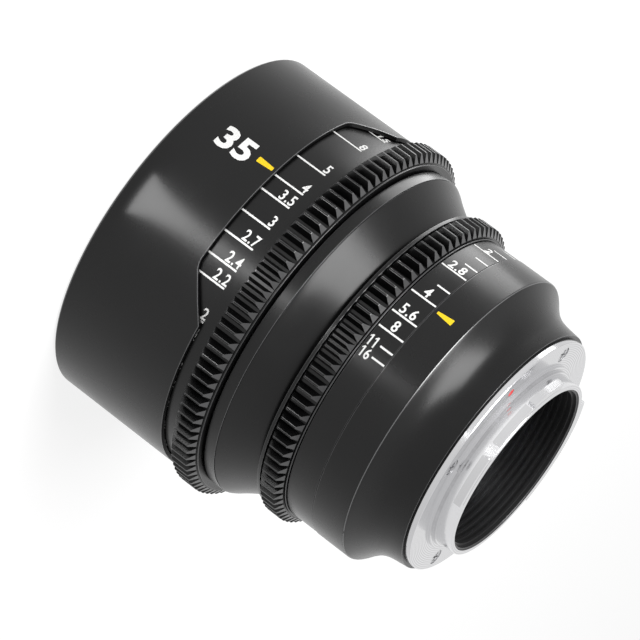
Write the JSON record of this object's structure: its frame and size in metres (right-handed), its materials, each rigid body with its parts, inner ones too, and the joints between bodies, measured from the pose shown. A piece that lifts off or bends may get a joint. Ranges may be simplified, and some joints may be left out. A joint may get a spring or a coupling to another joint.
{
  "type": "cine prime lens",
  "caption": "Fixed focal length cine lens with geared focus and iris rings, a scale window, a multi-blade iris and a chromed bayonet mount.",
  "frame": {"origin": "centre of the front rim's flat face, on the optical axis", "axes": "+Z along the optical axis from the subject to the camera, -Y through both index marks, +X completing the right-handed frame"},
  "size_m": [0.0872, 0.0872, 0.0904],
  "materials": {
    "anodised_black": "satin black anodised aluminium",
    "cell_black": "matt black anodised aluminium",
    "baffle_black": "matt black",
    "coated_glass": "polished, coated",
    "bare_aluminium": "fine turned",
    "bronze": "fine turned",
    "screw_steel": "plain",
    "mount_chrome": "bright turned chrome",
    "mount_screw_steel": "bright",
    "dot_red": "enamel",
    "blade_black": "matt black coated steel"
  },
  "bodies": {
    "barrel": {"front_barrel": "anodised_black", "front_bezel": "cell_black", "front_cell": "cell_black", "front_retainer": "cell_black", "front_element": "coated_glass", "second_element": "coated_glass", "front_barrel_screws": "screw_steel", "inner_barrel": "bare_aluminium", "focus_front_washer": "bronze", "focus_rear_washer": "bronze", "mid_barrel": "anodised_black", "iris_ring_washer": "bronze", "iris_housing": "cell_black", "iris_housing_screws": "screw_steel", "iris_retainer": "cell_black", "rear_barrel": "anodised_black", "rear_barrel_screws": "screw_steel", "rear_cell": "cell_black", "rear_cell_screws": "screw_steel", "rear_group_element": "coated_glass", "rear_element": "coated_glass", "rear_retainer": "cell_black", "rear_baffle": "baffle_black", "mount_shim": "baffle_black", "mount_ring": "mount_chrome", "mount_screws": "mount_screw_steel", "mount_dot": "dot_red"},
    "focus_ring": {"focus_ring": "anodised_black", "cam_sleeve": "cell_black", "focus_ring_screws": "screw_steel", "focus_stop_pin": "screw_steel"},
    "focus_group": {"focus_cell": "cell_black", "focus_front_element": "coated_glass", "focus_rear_element": "coated_glass", "focus_retainer": "cell_black", "cam_rollers": "bronze", "roller_screws": "screw_steel"},
    "iris_ring": {"iris_ring": "anodised_black", "iris_cam": "bronze", "iris_drive_pin": "screw_steel"},
    "blade_1": {"iris_blade_1": "blade_black"},
    "blade_2": {"iris_blade_2": "blade_black"},
    "blade_3": {"iris_blade_3": "blade_black"},
    "blade_4": {"iris_blade_4": "blade_black"},
    "blade_5": {"iris_blade_5": "blade_black"},
    "blade_6": {"iris_blade_6": "blade_black"},
    "blade_7": {"iris_blade_7": "blade_black"},
    "blade_8": {"iris_blade_8": "blade_black"},
    "blade_9": {"iris_blade_9": "blade_black"}
  },
  "joints": [
    {"name": "focus_turn", "type": "hinge", "parent": "barrel", "child": "focus_ring", "pos_m": [0, 0, 0], "axis": [0, 0, 1], "range_deg": [-107, 58]},
    {"name": "focus_slide", "type": "slide", "parent": "barrel", "child": "focus_group", "axis": [0, 0, 1], "range_m": [-0.00255, 0.0014]},
    {"name": "iris_turn", "type": "hinge", "parent": "barrel", "child": "iris_ring", "pos_m": [0, 0, 0], "axis": [0, 0, 1], "range_deg": [-27, 63]},
    {"name": "blade_1_swing", "type": "hinge", "parent": "barrel", "child": "blade_1", "pos_m": [0.0182, 0, 0.052], "axis": [0, 0, 1], "range_deg": [-23.5, 10.2]},
    {"name": "blade_2_swing", "type": "hinge", "parent": "barrel", "child": "blade_2", "pos_m": [0.01394, 0.0117, 0.052], "axis": [0, 0, 1], "range_deg": [-23.5, 10.2]},
    {"name": "blade_3_swing", "type": "hinge", "parent": "barrel", "child": "blade_3", "pos_m": [0.00316, 0.01792, 0.052], "axis": [0, 0, 1], "range_deg": [-23.5, 10.2]},
    {"name": "blade_4_swing", "type": "hinge", "parent": "barrel", "child": "blade_4", "pos_m": [-0.0091, 0.01576, 0.052], "axis": [0, 0, 1], "range_deg": [-23.5, 10.2]},
    {"name": "blade_5_swing", "type": "hinge", "parent": "barrel", "child": "blade_5", "pos_m": [-0.0171, 0.00622, 0.052], "axis": [0, 0, 1], "range_deg": [-23.5, 10.2]},
    {"name": "blade_6_swing", "type": "hinge", "parent": "barrel", "child": "blade_6", "pos_m": [-0.0171, -0.00622, 0.052], "axis": [0, 0, 1], "range_deg": [-23.5, 10.2]},
    {"name": "blade_7_swing", "type": "hinge", "parent": "barrel", "child": "blade_7", "pos_m": [-0.0091, -0.01576, 0.052], "axis": [0, 0, 1], "range_deg": [-23.5, 10.2]},
    {"name": "blade_8_swing", "type": "hinge", "parent": "barrel", "child": "blade_8", "pos_m": [0.00316, -0.01792, 0.052], "axis": [0, 0, 1], "range_deg": [-23.5, 10.2]},
    {"name": "blade_9_swing", "type": "hinge", "parent": "barrel", "child": "blade_9", "pos_m": [0.01394, -0.0117, 0.052], "axis": [0, 0, 1], "range_deg": [-23.5, 10.2]}
  ],
  "couplings": [
    {"joint": "focus_slide", "follows": "focus_turn", "m_per_rad": 0.0013528},
    {"joint": "blade_1_swing", "follows": "iris_turn", "ratio": -0.37},
    {"joint": "blade_2_swing", "follows": "iris_turn", "ratio": -0.37},
    {"joint": "blade_3_swing", "follows": "iris_turn", "ratio": -0.37},
    {"joint": "blade_4_swing", "follows": "iris_turn", "ratio": -0.37},
    {"joint": "blade_5_swing", "follows": "iris_turn", "ratio": -0.37},
    {"joint": "blade_6_swing", "follows": "iris_turn", "ratio": -0.37},
    {"joint": "blade_7_swing", "follows": "iris_turn", "ratio": -0.37},
    {"joint": "blade_8_swing", "follows": "iris_turn", "ratio": -0.37},
    {"joint": "blade_9_swing", "follows": "iris_turn", "ratio": -0.37}
  ]
}
